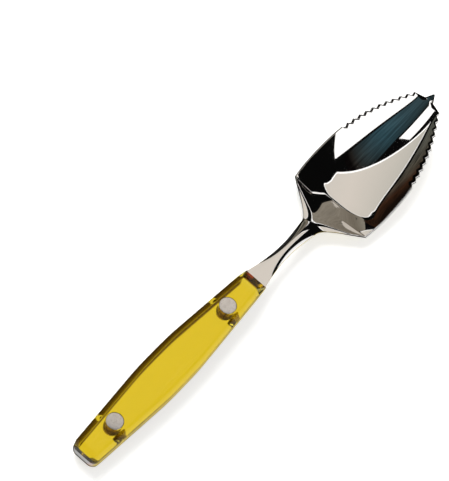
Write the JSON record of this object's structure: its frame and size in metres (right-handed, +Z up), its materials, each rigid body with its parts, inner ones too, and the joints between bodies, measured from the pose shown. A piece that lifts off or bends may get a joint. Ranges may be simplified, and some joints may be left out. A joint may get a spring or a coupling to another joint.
{
  "type": "grapefruit spoon",
  "caption": "Grapefruit spoon with a pointed steel bowl, toothed front edges and a handle of clear yellow scales riveted to a full tang.",
  "frame": {"origin": "on the table, under the middle of the spoon's length and width, with the spoon lying on the belly of its bowl and the butt end of its handle", "axes": "+X from the butt of the handle to the point of the bowl, +Z up, bowl open upwards"},
  "size_m": [0.165, 0.0302, 0.0156],
  "materials": {
    "steel": "mirror polished stainless steel",
    "acrylic": "clear golden-yellow acrylic, polished",
    "rivet_steel": "satin"
  },
  "bodies": {
    "root": {"bowl_and_tang": "steel", "upper_scale": "acrylic", "lower_scale": "acrylic", "front_rivet_pin": "rivet_steel", "front_rivet_sleeve": "rivet_steel", "rear_rivet_pin": "rivet_steel", "rear_rivet_sleeve": "rivet_steel"}
  },
  "joints": []
}
